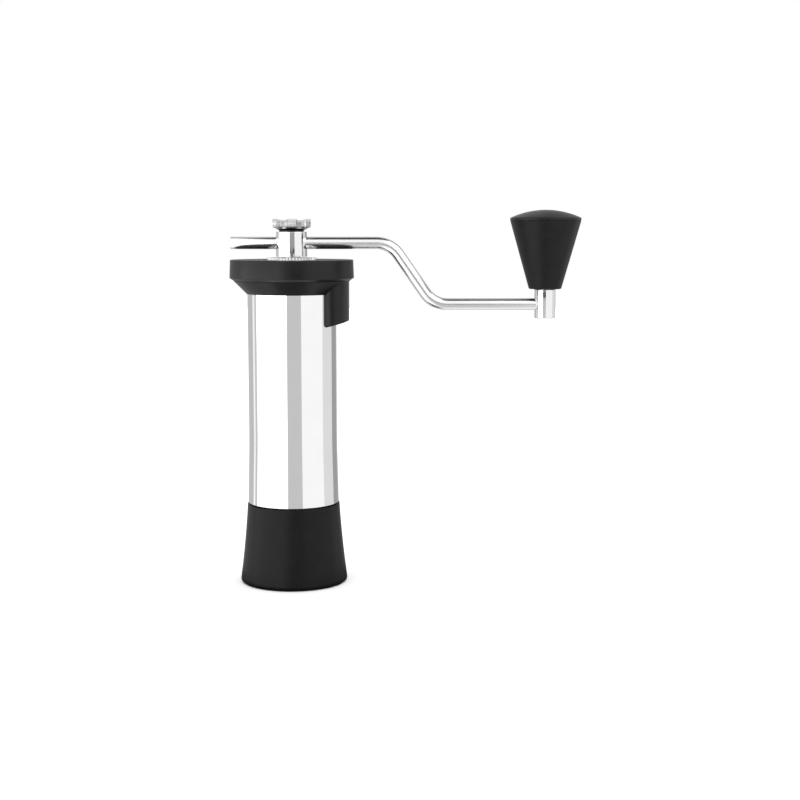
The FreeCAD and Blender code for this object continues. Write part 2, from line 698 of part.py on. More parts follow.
# ---------------------------------------------------------------- shaft, dial and spring

def make_main_shaft():
    body = new_body("main_shaft")
    revolve(body, [
        (0, "shaft_bottom"),
        ("shaft_radius", "shaft_bottom"),
        ("shaft_radius", "shaft_shoulder"),
        (0, "shaft_shoulder"),
    ])
    top = new_sketch(body, "XY_Plane", "shaft_shoulder")
    draw_outline(top, hexagon_corners("hexagon"))
    extrude(body, top, "shaft_top - shaft_shoulder")
    upper = new_sketch(body, "XY_Plane", "shaft_top")
    draw_circle(upper, "tapped_radius")
    pocket(body, upper, "10")
    lower = new_sketch(body, "XY_Plane", "shaft_bottom")
    draw_circle(lower, "tapped_radius")
    pocket(body, lower, "16", reverse=True)
    cross = new_sketch(body, "YZ_Plane")
    draw_circle(cross, 1.52, 0, "burr_top - 1.75")
    pocket(body, cross, "30", both_ways=True)


def make_adjustment_dial():
    """The grind dial: a notched edge, a stepped top and a ring of index marks."""
    body = new_body("adjustment_dial")
    revolve(body, [
        ("dial_bore", "dial_bottom"),
        ("dial_radius - 1.2", "dial_bottom"),
        ("dial_radius - 1.2", "dial_bottom + 3"),
        ("dial_radius", "dial_bottom + 3.6"),
        ("dial_radius", "dial_top - 0.4"),
        ("dial_radius - 0.4", "dial_top"),
        ("dial_bore", "dial_top"),
    ])
    notch = new_sketch(body, "XY_Plane", "dial_top + 0.1")
    draw_circle(notch, 0.6, 0, "dial_radius + 0.3")
    notches = pocket(body, notch, "dial_top - dial_bottom - 3")
    repeat_round(body, [notches], DIAL_NOTCHES)
    mark = new_sketch(body, "XY_Plane", "dial_top + 0.01")
    draw_outline(mark, box_corners(-0.2, 0.2, "hub_radius + 0.9", "dial_radius - 1.6"))
    repeat_round(body, [pocket(body, mark, "0.26")], DIAL_NOTCHES // 4)


def make_preload_spring():
    """A compression spring of round wire between the inner burr and the lower bearing."""
    low = value("burr_top + spring_wire + 0.05")
    high = value("lower_seat - spring_washer_thick - spring_wire - 0.1")
    circle, wire = value("spring_circle"), value("spring_wire")
    turns = 3.5
    path = Part.makeHelix((high - low) / turns, high - low, circle)
    path.translate(FreeCAD.Vector(0, 0, low))
    section = Part.Wire(Part.makeCircle(wire, FreeCAD.Vector(circle, 0, low), FreeCAD.Vector(0, 1, 0)))
    spring = sub_part(doc.addObject("Part::Feature", "preload_spring"), "preload_spring")
    spring.Shape = Part.Wire(path).makePipeShell([section], True, True)


# ---------------------------------------------------------------- lid and cup

def make_lid():
    body = new_body("lid")
    revolve(body, [
        ("lid_hole", "lid_top - 7.5"),
        ("lid_hole + 1.7", "lid_top - 7.5"),
        ("lid_hole + 2", "lid_top - lid_skin"),
        ("lid_inside", "lid_top - lid_skin"),
        ("lid_inside", "lid_bottom"),
        ("seam_radius", "lid_bottom"),
        ("lid_radius", "lid_chamfer_top"),
        ("lid_top_radius", "lid_top"),
        ("lid_hole", "lid_top"),
    ])
    rib = new_sketch(body, "XY_Plane", "lid_top - lid_skin + 0.3")
    draw_outline(rib, box_corners("-0.75", "0.75", "lid_hole + 1.5", "rim_inner - 1"))
    repeat_round(body, [extrude(body, rib, "3.5", reverse=True)], FEED_RIBS)
    round_edges(body, 0.5, ring_at("lid_top"))


def make_cup():
    shell = new_body("cup_shell")
    revolve(shell, [
        ("base_radius + 0.02", 0),
        ("cup_foot_radius - cup_round", 0),
        ("cup_foot_radius", "cup_round", "-cup_round * (sqrt(2) - 1) / sqrt(2)"),
        ("cup_rim_radius", "cup_height", "cup_waist"),
        ("cup_bore", "cup_height"),
        ("cup_bore", "cup_mouth_low"),
        ("cup_belly", "base_thick + 0.4"),
        ("base_radius + 0.02", "base_thick"),
    ])
    base = new_body("cup_base")
    revolve(base, [
        (0, 0),
        ("base_radius", 0),
        ("base_radius", "base_thick - 0.3"),
        ("base_radius - 0.8", "base_thick"),
        (0, "base_thick"),
    ])


# ---------------------------------------------------------------- crank, thumb screw and knob

def make_crank_hub():
    body = new_body("crank_hub")
    revolve(body, [
        (0, "hub_bottom"),
        ("hub_radius", "hub_bottom"),
        ("hub_top_radius", "hub_top"),
        (0, "hub_top"),
    ])
    round_edges(body, 0.3, ring_at("hub_top"), "PartDesign::Chamfer")
    socket = new_sketch(body, "XY_Plane", "hub_bottom")
    draw_outline(socket, hexagon_corners("socket_flats"))
    pocket(body, socket, "hub_web - hub_bottom", reverse=True)
    screw = new_sketch(body, "XY_Plane", "hub_top")
    draw_circle(screw, "thumb_shank + 0.3")
    pocket(body, screw, "hub_top - hub_web + 1")
    for reverse in (False, True):
        side = "-rod_inset" if reverse else "rod_inset"
        flank = new_sketch(body, "YZ_Plane", side)
        draw_circle(flank, "rod_radius + 0.02", 0, "rod_height")
        pocket(body, flank, "6", reverse=not reverse)
    mark = new_sketch(body, "XZ_Plane", "hub_radius - 0.5")
    draw_outline(mark, box_corners(0.4, 1.2, "hub_bottom - 1", "hub_bottom + 3"))
    pocket(body, mark, "3", reverse=True)


def make_crank_arm():
    """The bent rod, brazed into the hub and the end post: two level runs joined by a slanting one."""
    body = new_body("crank_arm")
    slope = math.atan2(value("rod_drop"), value("bend_end - bend_start"))
    setback = value("bend_radius") * math.tan(slope / 2)
    high, low = value("rod_height"), value("rod_height - rod_drop")
    first, second = value("bend_start"), value("bend_end")
    along = FreeCAD.Vector(math.cos(slope), -math.sin(slope), 0)
    corner_high, corner_low = FreeCAD.Vector(first, high, 0), FreeCAD.Vector(second, low, 0)
    level = FreeCAD.Vector(1, 0, 0)
    inward = FreeCAD.Vector(math.sin(slope / 2), math.cos(slope / 2), 0)
    to_arc = value("bend_radius") * (1 / math.cos(slope / 2) - 1)
    outer_end = "crank_reach - post_radius + 2.5"
    run_in = FreeCAD.Vector(value("rod_inset"), high, 0)
    run_out = FreeCAD.Vector(value(outer_end), low, 0)
    a, b = corner_high - level * setback, corner_high + along * setback
    c, d = corner_low - along * setback, corner_low + level * setback
    path = new_sketch(body, "XZ_Plane")
    edges = [
        Part.LineSegment(run_in, a),
        Part.Arc(a, corner_high - inward * to_arc, b),
        Part.LineSegment(b, c),
        Part.Arc(c, corner_low + inward * to_arc, d),
        Part.LineSegment(d, run_out),
    ]
    items = [path.addGeometry(edge, False) for edge in edges]
    joints = [run_in, a, b, c, d, run_out]
    for before, after, place in zip(items, items[1:], joints[1:]):
        ends = [1 if path.getPoint(item, 1).isEqual(place, 1e-6) else 2 for item in (before, after)]
        path.addConstraint(Sketcher.Constraint("Tangent", before, ends[0], after, ends[1]))
    pin_point(path, items[0], 1, "rod_inset", "rod_height")
    pin_point(path, items[4], 2, outer_end, "rod_height - rod_drop")
    path.addConstraint(Sketcher.Constraint("Horizontal", items[0]))
    path.addConstraint(Sketcher.Constraint("Horizontal", items[4]))
    for item in (items[1], items[3]):
        index = path.addConstraint(Sketcher.Constraint("Radius", item, value("bend_radius")))
        path.setExpression(f"Constraints[{index}]", bound("bend_radius"))
    section = new_sketch(body, "YZ_Plane", "rod_inset")
    draw_circle(section, "rod_radius", 0, "rod_height")
    pipe = body.newObject("PartDesign::AdditivePipe", "crank_arm_pipe")
    pipe.Profile = section
    pipe.Spine = path


def make_counter_stub():
    body = new_body("counter_stub")
    section = new_sketch(body, "YZ_Plane", "-stub_end")
    draw_circle(section, "rod_radius", 0, "rod_height")
    extrude(body, section, "stub_end - rod_inset")
    round_edges(body, 0.4, lambda edge: abs(edge.BoundBox.XMax + value("stub_end")) < 1e-3,
                "PartDesign::Chamfer")


def make_crank_post():
    body = on_knob_axis(new_body("crank_post"))
    revolve(body, [
        (0, "post_bottom"),
        ("post_radius", "post_bottom"),
        ("post_radius", "post_top"),
        (0, "post_top"),
    ])
    round_edges(body, 0.8, ring_at("post_bottom"))
    flank = new_sketch(body, "YZ_Plane", "2.55 - post_radius")
    draw_circle(flank, "rod_radius + 0.02", 0, "rod_height - rod_drop")
    pocket(body, flank, "6")
    foot = new_sketch(body, "XY_Plane", "post_top")
    draw_circle(foot, "spindle_foot + 0.02")
    pocket(body, foot, "5.2")


def make_thumb_screw():
    """The scalloped screw that clamps the crank, its shank through the hub, and its conical washer."""
    washer = new_body("thumb_washer")
    revolve(washer, [
        ("thumb_shank + 0.15", "hub_top + 0.05"),
        ("thumb_washer_foot", "hub_top + 0.05"),
        ("thumb_washer_foot", "thumb_washer_side"),
        ("thumb_base_radius", "thumb_washer_top"),
        ("thumb_shank + 0.15", "thumb_washer_top"),
    ])
    body = new_body("thumb_screw")
    seat = "thumb_washer_top + 0.05"
    revolve(body, [
        (0, "thumb_tip"),
        ("thumb_shank", "thumb_tip"),
        ("thumb_shank", seat),
        ("thumb_base_radius", seat),
        ("thumb_radius - 0.5", "thumb_side_low - 0.3"),
        ("thumb_radius", "thumb_side_low + 0.3"),
        ("thumb_radius", "thumb_top - 0.2"),
        ("thumb_radius - 0.2", "thumb_top"),
        ("dish_floor", "thumb_top - dish_depth", "0.06 * (thumb_radius - dish_floor)"),
        (0, "thumb_top - dish_depth"),
    ])
    scallop = new_sketch(body, "XY_Plane", "thumb_top + 1")
    draw_circle(scallop, "scallop_radius", "scallop_circle * cos(scallop_turn)",
                "scallop_circle * sin(scallop_turn)")
    cut = pocket(body, scallop, "thumb_top + 1 - hub_top")
    repeat_round(body, [cut], LOBES)


def make_knob():
    spindle = on_knob_axis(new_body("knob_spindle"))
    clip_low, clip_high = "cap_bottom - 8.8", "cap_bottom - 8"
    revolve(spindle, [
        (0, "post_top - 5"),
        ("spindle_foot", "post_top - 5"),
        ("spindle_foot", "post_top + 0.05"),
        ("spindle_radius", "post_top + 0.05"),
        ("spindle_radius", clip_low),
        ("spindle_radius - 0.8", clip_low),
        ("spindle_radius - 0.8", clip_high),
        ("spindle_radius", clip_high),
        ("spindle_radius", "cap_bottom - 6.6"),
        (0, "cap_bottom - 6.6"),
    ])

    # grip: a cone with a bore for the bushes, a well round the clip and a recess for the cap
    grip = on_knob_axis(new_body("knob_grip"))
    bush_top, well_top = "cap_bottom - 9.7", "cap_bottom - 4"
    revolve(grip, [
        ("bush_radius + 0.02", "knob_bottom"),
        ("knob_bottom_radius", "knob_bottom"),
        ("knob_radius", "knob_rim"),
        ("knob_radius - 3.4", "knob_rim"),
        ("knob_radius - 3.4", well_top),
        ("bush_radius + 2.5", well_top),
        ("bush_radius + 2.5", bush_top),
        ("bush_radius + 0.02", bush_top),
    ])
    round_edges(grip, 0.9, ring_at("knob_bottom", "knob_bottom_radius"))
    round_edges(grip, 0.3, ring_at("knob_rim", "knob_radius"))

    cap = on_knob_axis(new_body("knob_cap"))
    revolve(cap, [
        (0, "cap_bottom - 3.5"),
        ("knob_radius - 3.45", "cap_bottom - 3.5"),
        ("knob_radius - 3.45", "cap_bottom"),
        ("knob_radius", "cap_bottom"),
        ("knob_radius", "cap_side"),
        (0, "cap_top", "-(cap_top - cap_side) * 0.235"),
    ])
    round_edges(cap, 0.5, ring_at("cap_side", "knob_radius"))

    bore = "spindle_radius + running_gap"
    lower = ("knob_bottom + 0.1", "knob_bottom + 10")
    upper = (f"{bush_top} - 10", f"{bush_top} - 0.05")
    for place, (low, high) in (("lower", lower), ("upper", upper)):
        on_knob_axis(ring(f"knob_bush_{place}", bore, "bush_radius", low, high))
    on_knob_axis(ring("knob_washer", bore, "bush_radius + 1", f"{bush_top} + 0.05", f"{clip_low} - 0.05"))
    clip = on_knob_axis(new_body("knob_clip"))
    turned = revolve(clip, box_corners("spindle_radius - 0.75", "spindle_radius + 2",
                                       f"{clip_low} + 0.05", f"{clip_high} - 0.05"), angle=280)
    turned.Midplane = True


# ---------------------------------------------------------------- the whole grinder

def write_steps():
    """Check every object and sub-part, then write one STEP file for each sub-part."""
    doc.recompute()
    for item in doc.Objects:
        if "Invalid" in item.State or "Error" in item.State:
            raise ValueError(f"{item.Label} did not recompute: {item.State}")
    for item in sub_parts:
        if item.Shape.isNull() or not item.Shape.isValid() or not item.Shape.Solids:
            raise ValueError(f"{item.Label} has no valid solid")
    os.makedirs("parts", exist_ok=True)
    for item in sub_parts:
        item.Shape.exportStep(f"parts/{item.Label}.step")
        print(f"{item.Label}: {len(item.Shape.Solids)} solid(s), {item.Shape.Volume:.1f} mm3")


make_body_tube()
make_hopper_collar()
make_collar_screws()
make_spiders()
make_bearing("upper", "upper_seat")
make_bearing("lower", "lower_seat")
make_circlip("upper_circlip", "upper_seat + bearing_height + 0.25")
make_circlip("lower_circlip", "lower_seat - 0.25 - clip_thick")
make_outer_burr()
make_retaining_ring()
make_cup_seal()
ring("thrust_sleeve", "bearing_bore + 0.02", "sleeve_radius",
     "upper_seat + bearing_height", "dial_bottom - 0.05")
ring("spring_washer", "bearing_bore + 0.02", 8, "lower_seat - spring_washer_thick", "lower_seat - 0.02")
make_adjustment_dial()
make_main_shaft()
make_inner_burr()
make_burr_fasteners()
make_preload_spring()
make_lid()
make_cup()
make_crank_hub()
make_crank_arm()
make_counter_stub()
make_crank_post()
make_thumb_screw()
make_knob()
write_steps()
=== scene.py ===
import json
import math

import bmesh
import bpy
from mathutils import Matrix, Vector


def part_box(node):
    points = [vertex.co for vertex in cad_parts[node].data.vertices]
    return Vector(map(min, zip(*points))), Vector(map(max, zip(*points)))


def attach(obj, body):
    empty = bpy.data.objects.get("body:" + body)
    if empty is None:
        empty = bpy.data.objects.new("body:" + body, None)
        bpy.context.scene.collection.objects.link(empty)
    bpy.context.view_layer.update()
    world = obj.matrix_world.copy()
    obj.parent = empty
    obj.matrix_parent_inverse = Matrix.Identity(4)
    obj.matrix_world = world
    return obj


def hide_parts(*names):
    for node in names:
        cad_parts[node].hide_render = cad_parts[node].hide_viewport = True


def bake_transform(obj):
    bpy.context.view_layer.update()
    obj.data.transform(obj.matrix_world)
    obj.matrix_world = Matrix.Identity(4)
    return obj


# Looks of the hand crank coffee grinder. Metres, in the CAD frame: +Z up the shaft, +X towards the knob.

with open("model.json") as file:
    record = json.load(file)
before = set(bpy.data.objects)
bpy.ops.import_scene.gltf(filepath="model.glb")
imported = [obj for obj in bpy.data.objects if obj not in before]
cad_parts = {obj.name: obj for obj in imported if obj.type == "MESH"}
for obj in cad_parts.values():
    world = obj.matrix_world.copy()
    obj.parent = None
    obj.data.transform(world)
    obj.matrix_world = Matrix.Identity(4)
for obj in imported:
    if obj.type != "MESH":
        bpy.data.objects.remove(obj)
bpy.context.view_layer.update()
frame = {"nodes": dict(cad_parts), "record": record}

MM = 0.001


# ---------------------------------------------------------------- places read from the frame

def low(node):
    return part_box(node)[0]


def high(node):
    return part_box(node)[1]


def radius(node):
    """Half the width of a node that is turned about an upright axis."""
    return (high(node).y - low(node).y) / 2


KNOB_X = (low("knob_cap").x + high("knob_cap").x) / 2
ROD_R = (high("counter_stub").z - low("counter_stub").z) / 2
ROD_Z = (high("counter_stub").z + low("counter_stub").z) / 2


# ---------------------------------------------------------------- materials

NOISE_LOW, NOISE_HIGH = 0.3, 0.7


class Nodes:
    """Short calls for building a material's node tree."""

    def __init__(self, name):
        self.material = bpy.data.materials.new(name)
        self.material.use_nodes = True
        self.tree = self.material.node_tree
        self.shader = self.tree.nodes["Principled BSDF"]

    def add(self, kind, **settings):
        node = self.tree.nodes.new(kind)
        for name, setting in settings.items():
            setattr(node, name, setting)
        return node

    def link(self, source, target):
        self.tree.links.new(source, target)

    def place(self, scale=(1, 1, 1)):
        """Object coordinates. A small scale along an axis draws a pattern out along it."""
        coordinates = self.add("ShaderNodeTexCoord")
        mapping = self.add("ShaderNodeMapping")
        mapping.inputs["Scale"].default_value = scale
        self.link(coordinates.outputs["Object"], mapping.inputs["Vector"])
        return mapping.outputs["Vector"]

    def noise(self, vector, scale, detail=3.0, roughness=0.55):
        noise = self.add("ShaderNodeTexNoise")
        noise.inputs["Scale"].default_value = scale
        noise.inputs["Detail"].default_value = detail
        noise.inputs["Roughness"].default_value = roughness
        self.link(vector, noise.inputs["Vector"])
        return noise.outputs["Fac"]

    def spread(self, value, lowest, highest):
        """Map a noise, which keeps near a half, to a range."""
        spread = self.add("ShaderNodeMapRange")
        spread.inputs["From Min"].default_value = NOISE_LOW
        spread.inputs["From Max"].default_value = NOISE_HIGH
        spread.inputs["To Min"].default_value = lowest
        spread.inputs["To Max"].default_value = highest
        self.link(value, spread.inputs["Value"])
        return spread.outputs["Result"]

    def tint(self, value, dark, light):
        """Colour the surface between two shades by a noise."""
        ramp = self.add("ShaderNodeValToRGB")
        ramp.color_ramp.elements[0].position = NOISE_LOW
        ramp.color_ramp.elements[1].position = NOISE_HIGH
        ramp.color_ramp.elements[0].color = (*dark, 1)
        ramp.color_ramp.elements[1].color = (*light, 1)
        self.link(value, ramp.inputs["Fac"])
        self.link(ramp.outputs["Color"], self.shader.inputs["Base Color"])

    def bump(self, height, distance, strength=1.0):
        bump = self.add("ShaderNodeBump")
        bump.inputs["Distance"].default_value = distance
        bump.inputs["Strength"].default_value = strength
        self.link(height, bump.inputs["Height"])
        self.link(bump.outputs["Normal"], self.shader.inputs["Normal"])

    def set(self, **inputs):
        for name, value in inputs.items():
            self.shader.inputs[name.replace("_", " ")].default_value = value


def grey(value):
    return (value, value, value)


def satin_plastic(name, shade, roughness, grain=0.006, shine=0.25, sheen=0.0):
    """Moulded plastic: near black, with a fine spark-eroded grain and slightly uneven gloss.

    grain is the depth of the grain in millimetres.
    """
    look = Nodes(name)
    place = look.place()
    mottle = look.noise(place, 180, 4)
    look.tint(mottle, grey(shade * 0.8), (shade * 1.2, shade * 1.2, shade * 1.25))
    patches = look.noise(place, 45, 3)
    uneven = look.spread(patches, roughness - 0.03, roughness + 0.03)
    look.link(uneven, look.shader.inputs["Roughness"])
    pits = look.noise(place, 5200, 2, 0.6)
    look.bump(pits, grain * MM, 0.6)
    look.set(Specular_IOR_Level=shine, Sheen_Weight=sheen, Sheen_Roughness=0.3)
    return look.material


def metal(name, shade, roughness, marks, depth, density, tone=(1.0, 1.0, 1.0)):
    """Bare metal with fine marks. depth is in millimetres, and density is the marks' noise scale.

    marks is how fast they change along each axis, so they run along the axes where it is small.
    """
    look = Nodes(name)
    place = look.place(marks)
    lines = look.noise(place, density, 3, 0.6)
    stains = look.noise(look.place(), 60, 3)
    dark = tuple(shade * 0.985 * part for part in tone)
    light = tuple(min(shade * 1.015, 1) * part for part in tone)
    look.tint(stains, dark, light)
    look.link(look.spread(lines, roughness * 0.8, roughness * 1.2), look.shader.inputs["Roughness"])
    look.bump(lines, depth * MM, 0.5)
    look.set(Metallic=1.0)
    return look.material


TURNED = (0.03, 0.03, 1.0)
ALONG_X = (0.03, 1.0, 1.0)
EVEN = (1, 1, 1)

MATERIALS = {
    "polished_steel": metal("polished_steel", 0.9, 0.055, TURNED, 0.0002, 2200),
    "crank_steel": metal("crank_steel", 0.86, 0.09, TURNED, 0.0006, 1500),
    "thumb_steel": metal("thumb_steel", 0.48, 0.24, TURNED, 0.001, 1800),
    "rod_steel": metal("rod_steel", 0.84, 0.23, ALONG_X, 0.0006, 1500),
    "dial_steel": metal("dial_steel", 0.8, 0.22, TURNED, 0.001, 1800),
    "plain_steel": metal("plain_steel", 0.62, 0.25, TURNED, 0.002, 1500),
    "burr_steel": metal("burr_steel", 0.34, 0.36, TURNED, 0.004, 1100),
    "spring_steel": metal("spring_steel", 0.3, 0.3, EVEN, 0.002, 1200),
    "aluminium": metal("aluminium", 0.78, 0.34, TURNED, 0.003, 1400),
    "bush_brass": metal("bush_brass", 0.75, 0.25, TURNED, 0.002, 1500, (1.0, 0.8, 0.42)),
    "seal_rubber": satin_plastic("seal_rubber", 0.02, 0.75, 0.02),
    "black_plastic": satin_plastic("black_plastic", 0.004, 0.34, shine=0.3),
    "cup_plastic": satin_plastic("cup_plastic", 0.004, 0.36, shine=0.18),
    "knob_plastic": satin_plastic("knob_plastic", 0.007, 0.38, shine=0.17),
    "knob_top_plastic": satin_plastic("knob_top_plastic", 0.007, 0.34, shine=0.25, sheen=0.12),
}

slots = {row["node"]: row["material_slot"] for row in frame["record"]["subparts"]}
for node, item in frame["nodes"].items():
    item.data.materials.clear()
    item.data.materials.append(MATERIALS[slots[node]])


# ---------------------------------------------------------------- mesh tools

ARC_STEPS = 8
ROUND_STEPS = 256
SMOOTH_BELOW = 35
WELD = 1e-7


def angles(steps):
    """Evenly spaced angles, once round."""
    return [2 * math.pi * step / steps for step in range(steps)]


def softened(corners):
    """A closed outline of (across, up, rounding): each corner with a rounding becomes an arc."""
    points = []
    for index, (across, up, rounding) in enumerate(corners):
        here = Vector((across, up))
        if rounding <= 0:
            points.append(here)
            continue
        before = Vector(corners[index - 1][:2]) - here
        after = Vector(corners[(index + 1) % len(corners)][:2]) - here
        half = before.angle(after) / 2
        setback = rounding / math.tan(half)
        centre = here + (before.normalized() + after.normalized()).normalized() * rounding / math.sin(half)
        start = here + before.normalized() * setback - centre
        end = here + after.normalized() * setback - centre
        sweep = start.angle_signed(end)
        for step in range(ARC_STEPS + 1):
            points.append(centre + start @ Matrix.Rotation(sweep * step / ARC_STEPS, 2))
    return points


def arc_points(start, end, bulge, steps=24):
    """Points between two ends of an arc that stands off its chord by bulge, to the left of its travel."""
    start, end = Vector(start), Vector(end)
    chord = end - start
    left = Vector((-chord.y, chord.x)).normalized()
    arc_radius = chord.length ** 2 / (8 * bulge) + bulge / 2
    centre = (start + end) / 2 + left * (bulge - arc_radius)
    first, last = start - centre, end - centre
    sweep = first.angle_signed(last)
    return [centre + first @ Matrix.Rotation(sweep * step / steps, 2) for step in range(1, steps)]


def new_object(name, data):
    item = bpy.data.objects.new(name, data)
    bpy.context.collection.objects.link(item)
    return item


def closed_mesh(name, rows, faces):
    """A mesh with its doubled points welded and its faces turned outwards."""
    mesh = bpy.data.meshes.new(name)
    mesh.from_pydata([point for row in rows for point in row], [], faces)
    built = bmesh.new()
    built.from_mesh(mesh)
    bmesh.ops.remove_doubles(built, verts=built.verts, dist=WELD)
    loose = [edge for edge in built.edges if not edge.link_faces]
    bmesh.ops.delete(built, geom=loose, context="EDGES")
    bmesh.ops.recalc_face_normals(built, faces=built.faces)
    built.to_mesh(mesh)
    built.free()
    return mesh


def mesh_piece(name, rows, faces, body, material, nodes, sharp=SMOOTH_BELOW):
    """A piece that stands for its CAD nodes, shaded smooth across edges below an angle.

    With no body the piece is left free.
    """
    mesh = closed_mesh(name, rows, faces)
    mesh.shade_smooth()
    mesh.set_sharp_from_angle(angle=math.radians(sharp))
    mesh.materials.append(MATERIALS[material])
    piece = new_object(name, mesh)
    if body:
        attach(piece, body)
    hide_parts(*nodes)
    return piece


def wrap(rows, closed_rows=True):
    """Faces between rows of points. Each row is a closed ring, and the rows themselves may close too."""
    faces = []
    count = len(rows[0])
    last = len(rows) if closed_rows else len(rows) - 1
    for row in range(last):
        following = (row + 1) % len(rows)
        for column in range(count):
            beside = (column + 1) % count
            faces.append((row * count + column, row * count + beside,
                          following * count + beside, following * count + column))
    return faces


def capped(rows):
    """Faces between rows of points, with a flat face over each end."""
    count = len(rows[0])
    before_last = count * (len(rows) - 1)
    ends = [tuple(range(count)), tuple(range(before_last, before_last + count))]
    return wrap(rows, closed_rows=False) + ends


def turned(name, outline, body, material, nodes, axis_x=0.0):
    """Turn a closed outline of (radius, height) about an upright axis. Points on the axis make a pole."""
    rows = []
    for across, up in outline:
        rows.append([(axis_x + across * math.cos(turn), across * math.sin(turn), up)
                     for turn in angles(ROUND_STEPS)])
    return mesh_piece(name, rows, wrap(rows), body, material, nodes)


def shaped(levels, share_at, steps):
    """Rows of points round the main axis, from levels of (share of the shape, radius, height).

    share_at(turn) is the shape, as a share of the radius. A level with share 1 follows it, and one with
    share 0 is round. height may be a function of the radius, for a dished top.
    """
    rows = []
    for share, level_radius, height in levels:
        row = []
        for turn in angles(steps):
            across = level_radius * (1 - share + share * share_at(turn))
            up = height(across) if callable(height) else height
            row.append((across * math.cos(turn), across * math.sin(turn), up))
        rows.append(row)
    return rows


def prism(outline, bottom, top):
    """A scratch block over a flat outline of (x, y) corners, for adding to or cutting from a piece."""
    rows = [[(x, y, up) for x, y in outline] for up in (bottom, top)]
    return new_object("scratch", closed_mesh("scratch", rows, capped(rows)))


def combine(piece, block, operation):
    """Add a scratch block to a piece or cut it away, and delete the block."""
    change = piece.modifiers.new("change", "BOOLEAN")
    change.operation = operation
    change.solver = "EXACT"
    change.object = block
    mesh = bpy.data.meshes.new_from_object(piece.evaluated_get(bpy.context.evaluated_depsgraph_get()))
    piece.modifiers.clear()
    piece.data = mesh
    mesh.set_sharp_from_angle(angle=math.radians(SMOOTH_BELOW))
    bpy.data.objects.remove(block)


def turned_box(left, right, low_y, high_y, turn=0.0):
    """The corners of a box on the XY plane, turned about the origin."""
    spin = Matrix.Rotation(turn, 2)
    corners = ((left, low_y), (right, low_y), (right, high_y), (left, high_y))
    return [spin @ Vector(corner) for corner in corners]


# ---------------------------------------------------------------- tube and cup

def make_tube():
    """A straight tube that flares in a straight cone below a gentle bend."""
    foot_z, top_z = low("body_tube").z, high("body_tube").z
    foot_r, straight_r, bore_r = radius("body_tube"), 25.6 * MM, 24.1 * MM
    bend_low, bend_high = 77 * MM, 88 * MM
    chamfer = 0.35 * MM
    bend = bend_high - bend_low
    lean = (foot_r - straight_r) / (bend_low - foot_z + bend / 2)
    cone_r = straight_r + lean * bend / 2
    outline = [
        Vector((bore_r, foot_z)),
        Vector((foot_r - chamfer, foot_z)),
        Vector((foot_r, foot_z + chamfer)),
        Vector((cone_r, bend_low)),
    ]
    outline += arc_points((cone_r, bend_low), (straight_r, bend_high), lean * bend / 8)
    outline += [Vector((straight_r, bend_high)), Vector((straight_r, top_z)), Vector((bore_r, top_z))]
    turned("tube_skin", outline, "barrel", "polished_steel", ["body_tube"])


def make_cup():
    """The catch cup's wall. Its outside curves in a little between the rim and the foot."""
    rim_z, rim_r, mouth_r = high("cup_shell").z, 26.85 * MM, 24.4 * MM
    foot_r, foot_edge, bulge = radius("cup_shell"), 1.8 * MM, 0.38 * MM
    chamfer = 0.3 * MM
    mouth_low, inside_r, inside_low = 36.5 * MM, 28.2 * MM, high("cup_base").z + 0.4 * MM
    seat_r = radius("cup_base") + 0.02 * MM
    outline = softened([(seat_r, 0, 0), (foot_r, 0, foot_edge), (foot_r, rim_z, 0)])[:-1]
    outline += arc_points(outline[-1], (rim_r, rim_z - chamfer), bulge, 40)
    outline += [
        Vector((rim_r, rim_z - chamfer)),
        Vector((rim_r - chamfer, rim_z)),
        Vector((mouth_r + chamfer, rim_z)),
        Vector((mouth_r, rim_z - chamfer)),
        Vector((mouth_r, mouth_low)),
        Vector((inside_r, inside_low)),
        Vector((seat_r, high("cup_base").z)),
    ]
    turned("cup_skin", outline, "cup", "cup_plastic", ["cup_shell"])


# ---------------------------------------------------------------- lid

def make_lid():
    top, bottom = high("lid").z, low("lid").z
    ceiling, lip_low = top - 2.4 * MM, top - 7.5 * MM
    hole_r, inside_r, seam_r, skirt_r = 15.0 * MM, 31.9 * MM, 33.5 * MM, radius("lid")
    outline = softened([
        (hole_r, lip_low, 0.4 * MM),
        (hole_r + 1.7 * MM, lip_low, 0.4 * MM),
        (hole_r + 2.0 * MM, ceiling, 0.5 * MM),
        (inside_r, ceiling, 1.0 * MM),
        (inside_r, bottom, 0.2 * MM),
        (seam_r, bottom, 0.12 * MM),
        (skirt_r, bottom + 1.5 * MM, 0.25 * MM),
        (skirt_r - 0.4 * MM, top, 0.45 * MM),
        (hole_r, top, 0.3 * MM),
    ])
    lid = turned("lid_skin", outline, "lid", "black_plastic", ["lid"])
    ribs, half, tall, rooted = 6, 0.75 * MM, 3.2 * MM, 0.3 * MM
    from_r, to_r = hole_r + 1.5 * MM, inside_r - 3.3 * MM
    for turn in angles(ribs):
        corners = turned_box(from_r, to_r, -half, half, turn)
        combine(lid, prism(corners, ceiling - tall, ceiling + rooted), "UNION")


# ---------------------------------------------------------------- dial, crank and knob

THUMB_R = 11.5 * MM
LOBES = 6
SERRATIONS = 84
THUMB_STEPS = 720
DIAL_NOTCHES = 48
DIAL_STEPS = DIAL_NOTCHES * 16
ROD_SIDES = 64


def scalloped(turn):
    """Share of the full radius at an angle: lobes between round scallops, with fine serrations."""
    scallop, circle, first, serration = 4.5 * MM, 13.9 * MM, math.radians(5), 0.09 * MM
    step = 2 * math.pi / LOBES
    off = (turn - first + step / 2) % step - step / 2
    across = circle * math.sin(abs(off))
    reach = THUMB_R
    if across < scallop:
        reach = min(THUMB_R, circle * math.cos(off) - math.sqrt(scallop ** 2 - across ** 2))
    return (reach - serration * (1 - math.cos(turn * SERRATIONS))) / THUMB_R


